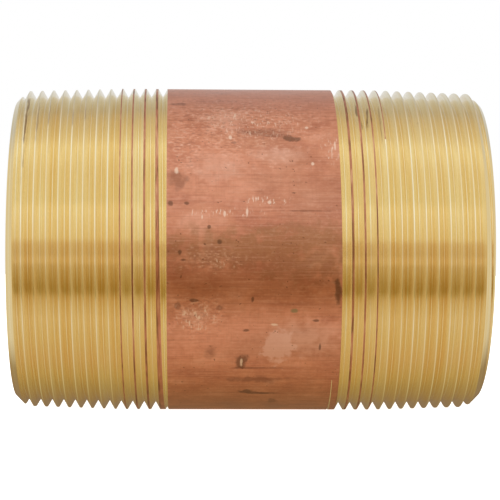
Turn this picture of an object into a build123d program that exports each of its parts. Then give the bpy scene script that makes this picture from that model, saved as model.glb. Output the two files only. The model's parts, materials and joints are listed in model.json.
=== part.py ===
from build123d import *
from build123d.topology import SkipClean

import os
from math import ceil, cos, pi, radians, sin, tan

# A 3 inch brass pipe nipple, 5 inches long: one short length of red brass pipe with a right-hand
# American taper pipe thread (NPT) cut on both ends and the bare pipe left between them.
# Millimetres, +Z up. The pipe's axis lies along X and the origin is the middle of the pipe.

# The pipe
nipple_length = 127.0  # 5 in, end face to end face
pipe_od = 88.9  # 3 in nominal pipe
pipe_wall = 5.5626  # 0.219 in, red brass pipe of regular weight

# The taper pipe thread, to ASME B1.20.1
thread_pitch = 3.175  # 8 threads per inch
thread_flank_angle = 30.0  # degrees from square to the axis, half of the 60 degree V
thread_taper = 1 / 32  # per side, 1 in 16 on the diameter
crest_truncation = 0.073 * thread_pitch  # cut off the sharp V, the most that is allowed
root_truncation = 0.033 * thread_pitch  # left in the sharp V, the least that is allowed

# How far each thread is cut. Each die was backed off where it happened to stop, so the two ends
# differ a little from the standard 41.5 mm and fade out at different places round the pipe.
left_thread_length = 42.05  # end face to the point where the groove fades out
left_fade_angle = 338.0  # where it fades out, in degrees round the axis from the back of the pipe
left_fade_turns = 0.61  # turns over which the groove runs out from its full depth
right_thread_length = 41.65
right_fade_angle = -129.0
right_fade_turns = 0.62

# Past the cone of the crests the die's throat rubs over crests that it never cuts.
crest_rub = 0.02  # how far it wears them down where it enters, fading to nothing at the barrel
barrel_clearance = 0.4  # bare barrel starts this far past the end of each thread

# The ends
chamfer_below_root = 0.33  # how far the lead-in chamfer starts below the thread's root
end_chamfer_angle = 45.0  # degrees from the axis
bore_deburr = 0.6  # small chamfer at the mouth of the bore

# The thread cutter
cutter_clearance = 0.08  # how far the cutter stands out of the crests, on the taper's high side too
cutter_overrun = 0.02  # turns that the cutter goes on past the point where it leaves the pipe
cutter_points_per_turn = 24
cutter_piece_turns = 0.9  # turns in each piece of the cutter

half_length = nipple_length / 2
pipe_radius = pipe_od / 2
bore_radius = pipe_radius - pipe_wall
sharp_v_height = thread_pitch / (2 * tan(radians(thread_flank_angle)))
thread_depth = sharp_v_height - crest_truncation - root_truncation
root_flat = 2 * root_truncation * tan(radians(thread_flank_angle))
# The standard's pitch diameter at the end face, for a pipe of this outside diameter in inches
end_pitch_dia = pipe_od - (0.05 * pipe_od / 25.4 + 1.1) * thread_pitch
crest_radius_at_end = (end_pitch_dia + sharp_v_height) / 2 - crest_truncation
end_face_radius = crest_radius_at_end - thread_depth - chamfer_below_root


def crest_radius(from_end):
    """Radius of the cone that the thread's crests lie on, at a distance from the end face."""
    return crest_radius_at_end + from_end * thread_taper


def pipe_blank():
    """The pipe before threading: bored, chamfered and turned down to the cone of the crests."""
    chamfer_slope = tan(radians(end_chamfer_angle))
    # The chamfer meets the cone of the crests, and the cone meets the rubbed crests.
    chamfer_length = (crest_radius_at_end - end_face_radius) / (chamfer_slope - thread_taper)
    rubbed_radius = pipe_radius - crest_rub
    cone_length = (rubbed_radius - crest_radius_at_end) / thread_taper
    one_end = [
        (-half_length, bore_radius + bore_deburr),
        (-half_length, end_face_radius),
        (-half_length + chamfer_length, crest_radius(chamfer_length)),
        (-half_length + cone_length, rubbed_radius),
    ]
    outline = one_end + [
        (-half_length + left_thread_length + barrel_clearance, pipe_radius),
        (half_length - right_thread_length - barrel_clearance, pipe_radius),
    ]
    outline += [(-x, radius) for x, radius in reversed(one_end)]
    outline += [
        (half_length - bore_deburr, bore_radius),
        (-half_length + bore_deburr, bore_radius),
    ]
    # Two half rounds, left unmerged, so that no round face closes on itself where it is cut.
    half = revolve(make_face(Polyline(*outline, close=True)), Axis.X, 180)
    return half + Rot(180, 0, 0) * half


def groove_section(to_go, thread_length, fade_angle, fade_turns):
    """The four corners of the cutter, to_go turns before the point where the groove fades out.

    The end face is at X = 0 and the pipe lies towards +X. The cutter is a V that winds in from
    clear of the end face, right-handed, with its root on a cone, and over its last turns it
    lifts out of the pipe.
    """
    centre = thread_length - to_go * thread_pitch
    angle = radians(fade_angle) - 2 * pi * to_go
    root = crest_radius(centre) - thread_depth
    if to_go < fade_turns:
        full_root = crest_radius(thread_length - fade_turns * thread_pitch) - thread_depth
        root = pipe_radius + (full_root - pipe_radius) * to_go / fade_turns
    top = crest_radius(centre) + cutter_clearance
    root_half = root_flat / 2
    top_half = root_half + (top - root) * tan(radians(thread_flank_angle))
    corners = [
        (centre - root_half, root),
        (centre + root_half, root),
        (centre + top_half, top),
        (centre - top_half, top),
    ]
    return [Vector(x, r * cos(angle), r * sin(angle)) for x, r in corners]


def cutter_piece(sections):
    """One closed solid through a run of the cutter's sections."""
    edges = [Edge.make_spline(list(corner)) for corner in zip(*sections)]
    sides = [Face.make_surface_from_curves(edges[i], edges[(i + 1) % 4]) for i in range(4)]
    ends = [Face(Wire.make_polygon(section)) for section in (sections[0], sections[-1])]
    return Solid(Shell(sides + ends))


def thread_cutter(thread_length, fade_angle, fade_turns):
    """One end's thread cutter, in pieces of under a turn so that no piece meets itself."""
    stops = [-cutter_overrun, fade_turns]
    while thread_length - stops[-1] * thread_pitch > -thread_pitch:
        stops.append(stops[-1] + cutter_piece_turns)
    stops.reverse()
    pieces = []
    for first, last in zip(stops, stops[1:]):
        steps = ceil((first - last) * cutter_points_per_turn)
        sections = [
            groove_section(
                first + (last - first) * i / steps, thread_length, fade_angle, fade_turns
            )
            for i in range(steps + 1)
        ]
        pieces.append(cutter_piece(sections))
    return pieces


def make_pipe_nipple():
    """The blank with both threads cut. The right end is the left end turned half round Z."""
    left = thread_cutter(left_thread_length, left_fade_angle, left_fade_turns)
    right = thread_cutter(right_thread_length, 180 - right_fade_angle, right_fade_turns)
    at_left_end = Pos(-half_length, 0, 0)
    at_right_end = Rot(0, 0, 180) * at_left_end
    with SkipClean():
        nipple = pipe_blank()
        for piece in left:
            nipple -= at_left_end * piece
        for piece in right:
            nipple -= at_right_end * piece
    return nipple


os.makedirs("parts", exist_ok=True)
pipe_nipple = make_pipe_nipple()
print("solids", len(pipe_nipple.solids()))
export_step(pipe_nipple, "parts/pipe_nipple.step")
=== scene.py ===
import json
from math import cos, pi, radians, sin, tan

import bmesh
import bpy
import numpy as np
from mathutils import Matrix, Vector


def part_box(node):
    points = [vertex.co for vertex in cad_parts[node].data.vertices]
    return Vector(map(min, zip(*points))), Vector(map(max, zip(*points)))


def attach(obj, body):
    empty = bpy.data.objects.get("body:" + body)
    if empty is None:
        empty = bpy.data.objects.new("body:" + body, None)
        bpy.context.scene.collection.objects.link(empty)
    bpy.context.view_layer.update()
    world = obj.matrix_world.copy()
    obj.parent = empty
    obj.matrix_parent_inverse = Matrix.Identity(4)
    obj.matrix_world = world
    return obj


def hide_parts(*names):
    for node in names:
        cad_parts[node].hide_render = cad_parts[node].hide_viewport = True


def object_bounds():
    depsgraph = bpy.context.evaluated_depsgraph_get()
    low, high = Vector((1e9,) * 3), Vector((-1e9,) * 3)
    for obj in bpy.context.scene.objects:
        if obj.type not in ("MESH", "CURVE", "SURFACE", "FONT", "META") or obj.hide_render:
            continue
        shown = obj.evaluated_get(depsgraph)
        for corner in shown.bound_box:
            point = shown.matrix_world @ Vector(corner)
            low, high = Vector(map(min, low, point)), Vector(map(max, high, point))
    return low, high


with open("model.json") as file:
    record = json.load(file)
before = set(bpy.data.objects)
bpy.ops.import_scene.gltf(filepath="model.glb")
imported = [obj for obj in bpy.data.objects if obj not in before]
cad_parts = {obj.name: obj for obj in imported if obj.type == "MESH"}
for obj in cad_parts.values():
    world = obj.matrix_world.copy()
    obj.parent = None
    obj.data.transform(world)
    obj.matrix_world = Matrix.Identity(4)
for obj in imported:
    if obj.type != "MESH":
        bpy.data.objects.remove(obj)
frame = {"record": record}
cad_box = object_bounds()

# ---------------------------------------------------------------------------------------------
# The length of pipe
# One piece of 3 inch red brass pipe, cut to length, chamfered, and threaded at each end by a die
# head. The threads are bright cut metal; the barrel keeps the dark copper skin of the pipe mill.

MM = 0.001
low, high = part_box("pipe_nipple")
PIPE_RADIUS = (high.z - low.z) / 2 / MM
HALF_LENGTH = (high.x - low.x) / 2 / MM
mounts = {m["name"]: m for m in frame["record"]["mounts"]}
BORE_RADIUS = mounts["flow_bore"]["dims"]["r_mm"]
BORE_DEBURR = HALF_LENGTH - mounts["flow_bore"]["dims"]["length_mm"] / 2

# The taper thread, in millimetres
INCH = 25.4
PITCH = INCH / 8
TAPER = 1 / 32  # how much the radius grows for each millimetre along the axis
FLANK_SLOPE = tan(radians(30))
SHARP_V = PITCH / (2 * FLANK_SLOPE)
CREST_CUT = 0.073 * PITCH  # taken off the sharp V at the crest
ROOT_CUT = 0.033 * PITCH
THREAD_DEPTH = SHARP_V - CREST_CUT - ROOT_CUT
ROOT_HALF = ROOT_CUT * FLANK_SLOPE
# The standard's rule for the pitch diameter at the end face
END_PITCH_DIA = 2 * PIPE_RADIUS - (0.05 * 2 * PIPE_RADIUS / INCH + 1.1) * PITCH
CREST_AT_END = (END_PITCH_DIA + SHARP_V) / 2 - CREST_CUT
CHAMFER_BELOW_ROOT = 0.33
FACE_RADIUS = CREST_AT_END - THREAD_DEPTH - CHAMFER_BELOW_ROOT

# Where each groove fades out: its length from the end face, which the record gives, the angle
# of its last point round the axis from the back of the pipe, and the turns it takes to lift out.
LEFT_FADE = (mounts["left_thread"]["dims"]["length_mm"], 338.0, 0.61)
RIGHT_FADE = (mounts["right_thread"]["dims"]["length_mm"], -129.0, 0.62)
SHOULDER = 0.5  # the plain skin's edge stands this far past a groove that has ended
SHOULDER_TURNS = 0.06  # and takes this part of a turn to get there
RUN_ON = 1.5  # turns by which the groove's rows start clear of the end face

COLUMNS = 360  # steps round the pipe
FLANK_STEPS = 2
CLIMB_ROUNDS = 40  # rounds that find where a flank meets the tapered outside
BARREL_END = 20.0  # the barrel's own mesh ends this far from the middle
BARREL_STEPS = 24
BORE_STEPS = 12
SKIN_LIMIT = 0.004  # a point this near to the pipe's outside is still on its skin
SAME_POINT = 1e-6  # metres
SHARP_EDGE = radians(20)

SKIN, CUT, FACED, DRAWN = range(4)  # the finishes, in the order of the material slots


def blank_radius(x):
    """Radius of the chamfered and tapered pipe at a distance x from its end face."""
    return np.minimum(np.minimum(FACE_RADIUS + x, CREST_AT_END + x * TAPER), PIPE_RADIUS)


def groove_rows(length, fade_angle, fade_turns):
    """Points along one end's groove, as columns, their distance from the face and their radius.

    The rows run along the groove: crest edge, down one flank, up the other, crest edge. They
    start clear of the end face and go on for a turn past the point where the groove fades out.
    """
    last = round(fade_angle / 360 * COLUMNS)
    columns = np.arange(last - COLUMNS * round(length / PITCH + RUN_ON), last + COLUMNS + 1)
    to_go = fade_angle / 360 - columns / COLUMNS
    centre = length - to_go * PITCH
    root = CREST_AT_END + centre * TAPER - THREAD_DEPTH
    full_root = CREST_AT_END + (length - fade_turns * PITCH) * TAPER - THREAD_DEPTH
    lifted = PIPE_RADIUS + (full_root - PIPE_RADIUS) * to_go / fade_turns
    root = np.where(to_go < fade_turns, lifted, root)
    past = to_go < 0
    # Past its end the groove is an edge in the plain skin, eased back at both ends of its turn.
    eased = np.clip(-to_go / SHOULDER_TURNS, 0, 1) * np.clip((1 + to_go) / SHOULDER_TURNS, 0, 1)
    shoulder = length + ROOT_HALF + SHOULDER * eased
    rows = []
    for side in (-1, 1):
        foot = centre + side * ROOT_HALF
        climb = np.zeros_like(foot)
        for _ in range(CLIMB_ROUNDS):
            climb = np.maximum(blank_radius(foot + side * climb * FLANK_SLOPE) - root, 0)
        for part in np.linspace(1, 0, FLANK_STEPS + 1)[::-side]:
            x = np.where(past, shoulder, foot + side * part * climb * FLANK_SLOPE)
            x = np.maximum(x, 0)
            r = np.where(past, PIPE_RADIUS, np.minimum(root + part * climb, blank_radius(x)))
            rows.append(np.stack([x, r], axis=1))
    return columns, np.stack(rows, axis=1)


class PipeMesh:
    """Collects rings and strips of points, then makes one closed mesh of them."""

    def __init__(self):
        self.points, self.quads, self.finish = [], [], []
        self.count = 0

    def add(self, x, r, angle):
        """Adds points given by place along the axis, radius and angle; returns their numbers."""
        x, r, angle = np.broadcast_arrays(x, r, angle)
        at = np.stack([x, r * np.cos(angle), r * np.sin(angle)], axis=-1)
        numbers = self.count + np.arange(x.size).reshape(x.shape)
        self.points.append(at.reshape(-1, 3))
        self.count += x.size
        return numbers

    def ring(self, x, r):
        return self.add(x, r, np.arange(COLUMNS) * 2 * pi / COLUMNS)

    def strip(self, one, other, finish):
        """Quads between two rows of points of the same length."""
        quads = np.stack([one[:-1], one[1:], other[1:], other[:-1]], axis=1)
        self.quads.append(quads)
        self.finish.append(np.broadcast_to(finish, len(quads)))

    def band(self, one, other, finish):
        """Quads between two closed rings."""
        self.strip(np.append(one, one[0]), np.append(other, other[0]), finish)

    def skin_or_cut(self, *rows):
        """Which steps of a strip lie wholly on the pipe's own untouched outside."""
        points = np.concatenate(self.points)
        on_skin = np.ones(len(rows[0]) - 1, bool)
        for row in rows:
            radius = np.hypot(points[row, 1], points[row, 2])
            on = radius > PIPE_RADIUS - SKIN_LIMIT
            on_skin &= on[:-1] & on[1:]
        return np.where(on_skin, SKIN, CUT)

    def thread(self, fade, side, face_ring, barrel_ring):
        """One threaded end, from the end face to the barrel. side is -1 for left, 1 for right."""
        length, angle, turns = fade
        local = 180 - angle if side > 0 else angle
        columns, at = groove_rows(length, local, turns)
        around = columns * 2 * pi / COLUMNS
        around = pi - around if side > 0 else around
        x = side * (HALF_LENGTH - at[..., 0])
        rows = self.add(x, at[..., 1], around[:, None])
        ring_places = (COLUMNS // 2 - columns if side > 0 else columns) % COLUMNS
        for i in range(at.shape[1] - 1):
            self.strip(rows[:, i], rows[:, i + 1], self.skin_or_cut(rows[:, i], rows[:, i + 1]))
        first, last = rows[:, 0], rows[:, -1]
        lower, upper = last[:-COLUMNS], first[COLUMNS:]
        self.strip(lower, upper, self.skin_or_cut(lower, upper))
        turn = COLUMNS + 1
        self.strip(face_ring[ring_places[:turn]], first[:turn], CUT)
        self.strip(last[-turn:], barrel_ring[ring_places[-turn:]], SKIN)

    def make(self, name):
        mesh = bpy.data.meshes.new(name)
        quads = np.concatenate(self.quads)
        finish = np.concatenate(self.finish)
        points = np.concatenate(self.points) * MM
        # Points less than a micron apart, as in the rows past the grooves' ends, become one.
        keys, keep, same = np.unique(
            np.round(points / SAME_POINT).astype(np.int64), axis=0,
            return_index=True, return_inverse=True)
        quads = same.reshape(-1)[quads]
        points = points[keep]
        faces, kinds = [], []
        for quad, kind in zip(quads.tolist(), finish.tolist()):
            loop = [v for i, v in enumerate(quad) if v != quad[i - 1]]
            if len(set(loop)) == len(loop) >= 3:
                faces.append(loop)
                kinds.append(kind)
        mesh.from_pydata(points.tolist(), [], faces)
        mesh.polygons.foreach_set("material_index", kinds)
        mesh.update()
        return mesh


pipe = PipeMesh()
face_rings, mouth_rings = {}, {}
for side in (-1, 1):
    face_rings[side] = pipe.ring(side * HALF_LENGTH, FACE_RADIUS)
    mouth_rings[side] = pipe.ring(side * HALF_LENGTH, BORE_RADIUS + BORE_DEBURR)
    pipe.band(face_rings[side], mouth_rings[side], FACED)
barrel = [pipe.ring(x, PIPE_RADIUS) for x in np.linspace(-BARREL_END, BARREL_END, BARREL_STEPS + 1)]
for one, other in zip(barrel, barrel[1:]):
    pipe.band(one, other, SKIN)
bore_end = HALF_LENGTH - BORE_DEBURR
bore = [pipe.ring(x, BORE_RADIUS) for x in np.linspace(-bore_end, bore_end, BORE_STEPS + 1)]
for one, other in zip(bore, bore[1:]):
    pipe.band(one, other, DRAWN)
pipe.band(mouth_rings[-1], bore[0], FACED)
pipe.band(mouth_rings[1], bore[-1], FACED)
pipe.thread(LEFT_FADE, -1, face_rings[-1], barrel[0])
pipe.thread(RIGHT_FADE, 1, face_rings[1], barrel[-1])

nipple_mesh = pipe.make("threaded_pipe")
nipple = bpy.data.objects.new("threaded_pipe", nipple_mesh)
bpy.context.scene.collection.objects.link(nipple)

work = bmesh.new()
work.from_mesh(nipple_mesh)
bmesh.ops.recalc_face_normals(work, faces=work.faces)
work.to_mesh(nipple_mesh)
work.free()
nipple_mesh.polygons.foreach_set("use_smooth", [True] * len(nipple_mesh.polygons))
nipple_mesh.set_sharp_from_angle(angle=SHARP_EDGE)
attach(nipple, "root")
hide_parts("pipe_nipple")


# Its finishes. Every one is bare metal, so colour, polish and fine relief carry the look.


def add(tree, kind, inputs=None, **settings):
    """Adds a shader node; an input is given as a value or as another node's output."""
    node = tree.nodes.new("ShaderNode" + kind)
    for name, value in settings.items():
        setattr(node, name, value)
    for name, value in (inputs or {}).items():
        if isinstance(value, bpy.types.NodeSocket):
            tree.links.new(value, node.inputs[name])
        else:
            node.inputs[name].default_value = value
    return node


def mix(tree, mask, one, other):
    """One colour turning into the other as the mask goes from 0 to 1."""
    node = add(tree, "Mix", data_type="RGBA")
    for socket, value in (("Factor", mask), ("A", one), ("B", other)):
        target = next(s for s in node.inputs if s.name == socket and s.enabled)
        if isinstance(value, bpy.types.NodeSocket):
            tree.links.new(value, target)
        else:
            target.default_value = (*value, 1)
    return next(s for s in node.outputs if s.enabled)


class Finish:
    """One metal finish under construction."""

    def __init__(self, name, anisotropic=0.0):
        self.material = bpy.data.materials.new(name)
        self.material.use_nodes = True
        self.tree = self.material.node_tree
        self.shader = self.tree.nodes["Principled BSDF"]
        self.shader.inputs["Metallic"].default_value = 1.0
        self.place = add(self.tree, "TexCoord").outputs["Object"]
        if anisotropic:
            self.shader.inputs["Anisotropic"].default_value = anisotropic
            self.shader.inputs["Anisotropic Rotation"].default_value = 0.25
            round_axis = add(self.tree, "Tangent", direction_type="RADIAL", axis="X")
            self.tree.links.new(round_axis.outputs[0], self.shader.inputs["Tangent"])

    def grain(self, along, across, detail=4.0, shift=(0, 0, 0)):
        """Noise with so many features to the metre along the pipe and across it."""
        spread = add(
            self.tree, "Mapping", {"Vector": self.place, "Scale": (along, across, across),
                                   "Location": shift})
        noise = add(
            self.tree, "TexNoise", {"Vector": spread.outputs[0], "Scale": 1.0, "Detail": detail})
        return noise.outputs["Fac"]

    def rescale(self, value, low, high, start=0.0, end=1.0):
        """Maps low..high to start..end, flat outside."""
        node = add(
            self.tree, "MapRange",
            {"Value": value, "From Min": low, "From Max": high, "To Min": start, "To Max": end})
        return node.outputs[0]

    def ramp(self, value, *stops):
        """A colour for each value, from (place, colour) stops."""
        node = add(self.tree, "ValToRGB", {"Fac": value})
        elements = node.color_ramp.elements
        for place, color in stops[2:]:
            elements.new(place)
        for element, (place, color) in zip(elements, stops):
            element.position = place
            element.color = (*color, 1)
        return node.outputs["Color"]

    def mix(self, mask, one, other):
        return mix(self.tree, mask, one, other)

    def math(self, operation, one, other):
        node = add(self.tree, "Math", {0: one, 1: other}, operation=operation)
        return node.outputs[0]

    def spot(self, x, angle, long, wide, edge=0.35):
        """A ragged patch on the outside.

        Its middle is x millimetres along from the pipe's middle and at an angle, in degrees, up
        from the front. It is so many millimetres long and wide; edge is how soft its rim is.
        """
        y, z = -PIPE_RADIUS * cos(radians(angle)), PIPE_RADIUS * sin(radians(angle))
        sizes = [long * MM / 2, wide * MM / 2, wide * MM / 2]
        centre = [-c * MM / s for c, s in zip((x, y, z), sizes)]
        near = add(
            self.tree, "Mapping",
            {"Vector": self.place, "Location": centre, "Scale": [1 / s for s in sizes]})
        away = add(self.tree, "VectorMath", {0: near.outputs[0]}, operation="LENGTH")
        ragged = self.math("ADD", away.outputs["Value"], self.ragged)
        return self.rescale(ragged, 1.0 + edge, 1.0 - edge)

    def spots(self, *places):
        """Several such patches in one mask."""
        mask = self.spot(*places[0])
        for place in places[1:]:
            mask = self.math("MAXIMUM", mask, self.spot(*place))
        return mask

    def finish(self, color, roughness, relief, depth, strength):
        """Joins the finished colour, polish and relief to the metal."""
        bump = add(
            self.tree, "Bump", {"Height": relief, "Distance": depth * MM, "Strength": strength})
        self.tree.links.new(color, self.shader.inputs["Base Color"])
        self.tree.links.new(roughness, self.shader.inputs["Roughness"])
        self.tree.links.new(bump.outputs[0], self.shader.inputs["Normal"])
        nipple_mesh.materials.append(self.material)


# The skin left by the pipe mill: copper-red tarnish, drawn streaks along the pipe, small dents, and
# long bands of painted light, shade and reflection along the barrel.
skin = Finish("copper_mill_skin")
streaks = skin.grain(22, 900)
fine = skin.grain(110, 2600, 3.0)
mottle = skin.grain(110, 190, 6.0)
clouds = skin.grain(30, 60, 3.0)
weave = skin.grain(2600, 160, 2.0, (0.1, 0.9, 0.3))
flecks = skin.grain(900, 1700, 4.0, (0.7, 0.4, 0.9))
specks = skin.grain(1100, 1100, 1.0, (0.5, 0.5, 0.1))
skin.ragged = skin.rescale(skin.grain(420, 420, 5.0), 0.3, 0.7, -0.6, 0.6)
copper = skin.ramp(
    mottle, (0.32, (0.55, 0.21, 0.125)), (0.45, (0.64, 0.26, 0.155)),
    (0.58, (0.70, 0.30, 0.18)), (0.70, (0.80, 0.38, 0.25)))
# Painted reflection: a dark olive band the length of the barrel, along its front where it faces the
# camera.
painted_front_reflection = skin.spots((2, 0.0, 56, 8.5, 0.45), (14, 3, 34, 8, 0.5), (16, -4, 26, 8, 0.5))
copper = skin.mix(skin.rescale(painted_front_reflection, 0, 1, 0, 0.6), copper, (0.36, 0.18, 0.08))
# Painted shade: darker bands the length of the barrel, just below the front and low down near the
# bottom.
painted_shade_bands = skin.spots((0, -9.5, 56, 11, 0.35), (0, -63, 60, 22, 0.5))
copper = skin.mix(skin.rescale(painted_shade_bands, 0, 1, 0, 0.35), copper, (0.42, 0.16, 0.10))
# Painted light: paler rosy bands along the barrel, below the front and over the top.
painted_light_bands = skin.spots((0, -32, 54, 15, 0.5), (-8, 27, 34, 14, 0.7), (0, 64, 60, 26, 0.5))
copper = skin.mix(skin.rescale(painted_light_bands, 0, 1, 0, 0.7), copper, (0.84, 0.37, 0.24))
copper = skin.mix(skin.rescale(clouds, 0.54, 0.68, 0, 0.4), copper, (0.46, 0.20, 0.12))
copper = skin.mix(skin.rescale(streaks, 0.54, 0.70, 0, 0.3), copper, (0.38, 0.14, 0.08))
copper = skin.mix(skin.rescale(fine, 0.52, 0.70, 0, 0.22), copper, (0.32, 0.13, 0.08))
copper = skin.mix(skin.rescale(fine, 0.46, 0.30, 0, 0.25), copper, (0.84, 0.45, 0.33))
copper = skin.mix(skin.rescale(weave, 0.54, 0.70, 0, 0.12), copper, (0.40, 0.16, 0.10))
# Where the pipe was dragged and handled the tarnish is scuffed, both paler and darker.
scuffed = skin.spots(
    (-6, 50, 36, 22, 0.6), (-17, 40, 10, 16, 0.6), (-14, -23, 12, 8, 0.6), (-10, -3.5, 12, 5, 0.7))
scuffed = skin.rescale(scuffed, 0, 1, 0.10, 0.5)
paler = skin.math("MULTIPLY", skin.rescale(flecks, 0.53, 0.66), scuffed)
copper = skin.mix(paler, copper, (0.93, 0.60, 0.45))
darker = skin.math("MULTIPLY", skin.rescale(flecks, 0.46, 0.36), scuffed)
copper = skin.mix(darker, copper, (0.36, 0.16, 0.11))
pale = skin.spots(
    (7.0, 33.8, 12.0, 3.8, 0.7), (-9.1, 29.0, 10.4, 5.9, 0.8), (-14.1, -22.9, 5.7, 3.9, 0.7),
    (-6.6, 50.8, 9.5, 7.0, 0.8), (14, -31, 14, 8, 0.7))
copper = skin.mix(skin.rescale(pale, 0, 1, 0, 0.3), copper, (0.93, 0.58, 0.45))
worn = skin.spots((7.3, -36.3, 7.6, 10.0, 0.18))
copper = skin.mix(skin.rescale(worn, 0, 1, 0, 0.6), copper, (0.84, 0.49, 0.39))
brown = skin.spots(
    (-19.3, 23.7, 5.0, 4.4, 0.4), (3.0, 44.3, 10.5, 2.2, 0.6), (6.1, 42.6, 6.8, 1.1, 0.5),
    (-19.0, -19.0, 1.3, 1.6), (-8.1, -19.9, 1.5, 1.1), (-10.4, -37.5, 3.1, 3.0, 0.6),
    (0.4, -44.5, 14.7, 0.7, 0.4), (1.3, -50.8, 12.2, 2.1, 0.6), (6.2, -66.6, 2.2, 2.7),
    (-4.7, 39.0, 1.3, 0.7), (-18.9, 61.0, 3.8, 1.4, 0.5), (14.5, 13.0, 10.3, 0.4, 0.4))
copper = skin.mix(skin.rescale(brown, 0, 1, 0, 0.5), copper, (0.22, 0.085, 0.05))
dark = skin.spots(
    (10.6, 40.7, 4.2, 1.9, 0.25), (22.3, -14.1, 1.5, 5.0), (-14.7, -17.2, 1.9, 0.8, 0.3),
    (0.3, -16.8, 0.6, 1.3), (16.8, -24.4, 1.3, 0.6), (-1.2, -28.2, 1.3, 0.6),
    (18.1, -34.7, 0.5, 1.9), (-2.5, -41.4, 2.9, 4.0), (-0.7, -58.7, 3.7, 1.8),
    (3.3, -59.8, 8.0, 0.9), (-18.4, -1.0, 0.9, 1.3), (-17.7, -3.5, 1.5, 0.7),
    (-11.0, 7.6, 0.8, 0.8), (-8.3, 2.6, 1.0, 1.0), (-16.9, 15.5, 1.3, 0.9),
    (-21.0, 15.5, 1.3, 1.3), (10.8, 19.3, 1.2, 0.5))
copper = skin.mix(skin.rescale(dark, 0, 1, 0, 0.66), copper, (0.12, 0.06, 0.035))
copper = skin.mix(skin.rescale(specks, 0.73, 0.77, 0, 0.6), copper, (0.18, 0.08, 0.045))
green = skin.spots((11.2, -20.8, 1.5, 1.1))
copper = skin.mix(skin.rescale(green, 0, 1, 0, 0.7), copper, (0.26, 0.24, 0.12))
nicks = skin.spots(
    (-5.5, 41.4, 0.8, 1.5), (-4.2, 53.2, 0.4, 1.8), (14.7, 46.3, 0.8, 0.9), (21.0, 34.9, 0.4, 3.0),
    (21.9, 37.7, 0.35, 2.3), (15.9, 30.2, 0.7, 0.8), (-19.5, 27.4, 0.9, 1.5),
    (-12.8, 10.7, 0.5, 1.3), (-7.0, 12.2, 0.5, 1.3), (-1.2, 12.7, 0.5, 2.0),
    (4.6, 15.8, 0.8, 0.8), (6.1, -25.9, 1.5, 0.6), (-2.3, -41.6, 0.6, 2.2))
strokes = skin.grain(2100, 650, 2.0, (0.7, 0.4, 0.9))
knocked = skin.spots(
    (0, 50, 22, 9, 0.6), (20.5, 38, 4, 9, 0.5), (-6, 12.5, 18, 1.8, 0.4), (4, 16.2, 10, 2.2, 0.4),
    (-14.5, -24, 9, 6, 0.5), (-7.5, -4, 5, 2.5, 0.5))
dinged = skin.math(
    "MULTIPLY", skin.rescale(strokes, 0.57, 0.67), skin.rescale(knocked, 0, 1, 0.03, 1))
nicks = skin.math("MAXIMUM", nicks, dinged)
copper = skin.mix(skin.rescale(nicks, 0, 1, 0, 0.7), copper, (0.96, 0.72, 0.56))
# The strips of skin left on the crests are rubbed and dirty from the die.
along = add(skin.tree, "SeparateXYZ", {0: skin.place}).outputs["X"]
from_middle = skin.math("ABSOLUTE", along, 0.0)
on_crests = skin.rescale(from_middle, 23.4 * MM, 23.8 * MM)
copper = skin.mix(skin.rescale(on_crests, 0, 1, 0, 0.5), copper, (0.48, 0.20, 0.10))
rubbed = skin.grain(1300, 150, 3.0, (0.6, 0.2, 0.4))
copper = skin.mix(
    skin.math("MULTIPLY", skin.rescale(rubbed, 0.50, 0.62, 0, 0.8), on_crests), copper,
    (0.27, 0.12, 0.055))
copper = skin.mix(
    skin.math("MULTIPLY", skin.rescale(rubbed, 0.42, 0.34, 0, 0.7), on_crests), copper,
    (0.80, 0.46, 0.26))
relief = skin.math("ADD", streaks, skin.math("MULTIPLY", fine, 0.5))
relief = skin.math("ADD", relief, skin.math("MULTIPLY", flecks, 0.3))
skin.finish(copper, skin.rescale(mottle, 0.3, 0.7, 0.28, 0.38), relief, 0.02, 0.22)

# The cut threads: bright yellow brass with the die's fine rings round them, a few stains, and faint
# painted shade in some grooves.
cut = Finish("bright_cut_thread", anisotropic=1.0)
rings = cut.grain(3600, 14, 2.0)
wide_rings = cut.grain(1100, 8, 2.0)
cut.ragged = cut.rescale(cut.grain(3000, 200, 5.0), 0.3, 0.7, -0.8, 0.8)
brass = cut.ramp(rings, (0.32, (0.925, 0.775, 0.47)), (0.68, (0.99, 0.92, 0.70)))
brass = cut.mix(cut.rescale(wide_rings, 0.4, 0.7, 0, 0.4), brass, (0.92, 0.74, 0.41))
stain = cut.spots(
    (-59.45, 56, 0.42, 28.0), (31.2, 55, 0.5, 8.0), (28.4, 58, 0.5, 6.0),
    (44.2, 50.5, 0.6, 1.0), (49.8, 23.6, 0.5, 1.6))
brass = cut.mix(cut.rescale(stain, 0, 1, 0, 0.75), brass, (0.24, 0.13, 0.06))
# Painted shade in the grooves: faint dark marks, turn after turn, high on the front of the left
# thread, and one on the right thread.
painted_groove_shade = cut.spots(
    (-56.4, 51, 0.38, 16.0), (-53.4, 53, 0.32, 10.0), (-47.1, 54, 0.32, 9.0),
    (-43.8, 55, 0.32, 8.0), (34.5, 52, 0.4, 12.0))
brass = cut.mix(cut.rescale(painted_groove_shade, 0, 1, 0, 0.45), brass, (0.34, 0.20, 0.10))
cut.finish(brass, cut.rescale(rings, 0.3, 0.7, 0.13, 0.19), rings, 0.008, 0.3)

# The end faces and the edges of the bore: turned square, with rings round the axis.
faced = Finish("turned_end_face")
turned = faced.grain(60, 60, 2.0)
faced.finish(
    faced.ramp(turned, (0.3, (0.80, 0.62, 0.34)), (0.7, (0.92, 0.80, 0.52))),
    faced.rescale(turned, 0.3, 0.7, 0.22, 0.34), turned, 0.01, 0.3)

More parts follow.
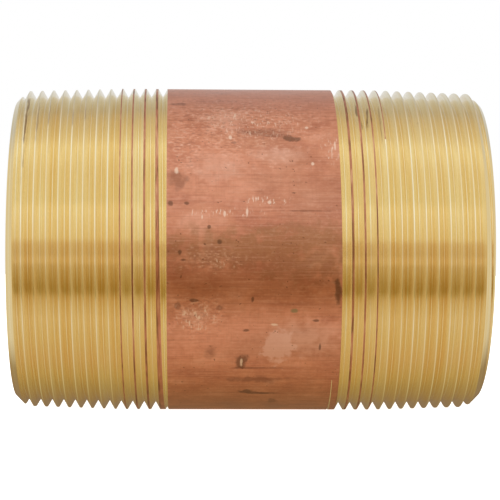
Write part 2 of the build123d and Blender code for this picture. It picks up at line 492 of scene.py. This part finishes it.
# The bore: dull drawn brass with long streaks along the pipe.
drawn = Finish("drawn_bore")
lines = drawn.grain(12, 600)
drawn.finish(
    drawn.ramp(lines, (0.3, (0.42, 0.24, 0.12)), (0.7, (0.66, 0.44, 0.25))),
    drawn.rescale(lines, 0.3, 0.7, 0.38, 0.5), lines, 0.03, 0.5)

# ---------------------------------------------------------------------------------------------
# The floor
# A sheet of plain white paper that the pipe lies on, lit so brightly that it shows no shadow.

floor_mesh = bpy.data.meshes.new("floor")
reach = 3.0
level = cad_box[0].z
floor_mesh.from_pydata(
    [(-reach, -reach, level), (reach, -reach, level), (reach, reach, level), (-reach, reach, level)],
    [], [(0, 1, 2, 3)])
floor = bpy.data.objects.new("floor", floor_mesh)
bpy.context.scene.collection.objects.link(floor)
floor.visible_glossy = False
paper = bpy.data.materials.new("white_paper")
paper.use_nodes = True
sheet = paper.node_tree.nodes["Principled BSDF"]
sheet.inputs["Base Color"].default_value = (0.9, 0.9, 0.9, 1)
sheet.inputs["Roughness"].default_value = 0.9
sheet.inputs["Emission Color"].default_value = (1, 1, 1, 1)
sheet.inputs["Emission Strength"].default_value = 1.0
floor_mesh.materials.append(paper)

# ---------------------------------------------------------------------------------------------
# The studio
# A white soft box overhead and white paper behind; towards the camera the room falls away dark,
# and below it the lit table shines back warm. Seen directly, everything round is white.

ROOM = (  # degrees up from the camera's direction, over the top to the back, and the light there
    (-180, (0.80, 0.80, 0.80)),
    (-175, (0.24, 0.16, 0.09)),
    (-150, (0.33, 0.24, 0.13)),
    (-130, (0.42, 0.33, 0.17)),
    (-113, (0.55, 0.44, 0.24)),
    (-92, (0.66, 0.53, 0.36)),
    (-72, (0.72, 0.62, 0.46)),
    (-55, (0.77, 0.68, 0.57)),
    (-42, (0.67, 0.56, 0.40)),
    (-38, (0.62, 0.49, 0.32)),
    (-35, (0.50, 0.39, 0.20)),
    (-32, (0.38, 0.27, 0.09)),
    (-27, (0.42, 0.30, 0.12)),
    (-18, (0.53, 0.41, 0.23)),
    (-12, (0.61, 0.49, 0.34)),
    (-10, (0.75, 0.63, 0.49)),
    (-6, (0.71, 0.59, 0.47)),
    (-4, (0.64, 0.52, 0.38)),
    (4, (0.70, 0.58, 0.45)),
    (8, (0.86, 0.81, 0.73)),
    (29, (0.97, 0.98, 1.00)),
    (31, (0.97, 0.98, 1.00)),
    (37, (0.87, 0.87, 0.83)),
    (62, (0.87, 0.85, 0.80)),
    (84, (0.99, 1.00, 1.00)),
    (91, (0.87, 0.85, 0.82)),
    (101, (0.77, 0.73, 0.67)),
    (116, (0.66, 0.61, 0.57)),
    (130, (0.54, 0.52, 0.53)),
    (148, (0.58, 0.58, 0.58)),
    (170, (0.72, 0.72, 0.72)),
    (180, (0.80, 0.80, 0.80)),
)
world = bpy.data.worlds.new("studio")
bpy.context.scene.world = world
world.use_nodes = True
studio = world.node_tree
toward = add(studio, "TexCoord").outputs["Generated"]
parts = add(studio, "SeparateXYZ", {0: toward})
away = add(studio, "Math", {0: parts.outputs["Y"], 1: -1.0}, operation="MULTIPLY")
up_angle = add(studio, "Math", {0: parts.outputs["Z"], 1: away.outputs[0]}, operation="ARCTAN2")
turns = add(
    studio, "MapRange",
    {"Value": up_angle.outputs[0], "From Min": -pi, "From Max": pi, "To Min": 0.0, "To Max": 1.0})
walls = add(studio, "ValToRGB", {"Fac": turns.outputs[0]})
for angle, light in ROOM[1:-1]:
    walls.color_ramp.elements.new(angle / 360 + 0.5)
for element, (angle, light) in zip(walls.color_ramp.elements, ROOM):
    element.position = angle / 360 + 0.5
    element.color = (*light, 1)
# A cream card at each end of the table lights the chamfers.
ends = add(studio, "Math", {0: parts.outputs["X"], 1: 0.0}, operation="ABSOLUTE")
beside = add(studio, "MapRange", {"Value": ends.outputs[0], "From Min": 0.62, "From Max": 0.80})
room = mix(studio, beside.outputs[0], walls.outputs["Color"], (0.74, 0.66, 0.50))
seen = add(studio, "LightPath").outputs["Is Camera Ray"]
backdrop = studio.nodes["Background"]
studio.links.new(mix(studio, seen, room, (1, 1, 1)), backdrop.inputs["Color"])
backdrop.inputs["Strength"].default_value = 1.0

# ---------------------------------------------------------------------------------------------
# The camera
# A long lens a little over half a metre in front of the pipe, level with its axis, turned a
# touch to the right and hardly rolled.

CAMERA_PLACE = (-0.01472, -0.55854, -0.00014)
FOCAL_LENGTH = 144.1872  # millimetres, on a sensor 36 mm wide
camera_data = bpy.data.cameras.new("camera")
camera_data.sensor_width = 36
camera_data.lens = FOCAL_LENGTH
camera = bpy.data.objects.new("camera", camera_data)
bpy.context.scene.collection.objects.link(camera)
turn, roll = 0.0277, 0.0044
forward = Vector((sin(turn), cos(turn), 0))
flat_right = Vector((cos(turn), -sin(turn), 0))
right = flat_right * cos(roll) + Vector((0, 0, 1)) * sin(roll)
up = right.cross(forward)
camera.matrix_world = Matrix((
    (right.x, up.x, -forward.x, CAMERA_PLACE[0]),
    (right.y, up.y, -forward.y, CAMERA_PLACE[1]),
    (right.z, up.z, -forward.z, CAMERA_PLACE[2]),
    (0, 0, 0, 1),
))
bpy.context.scene.camera = camera
bpy.context.scene.view_settings.view_transform = "Standard"
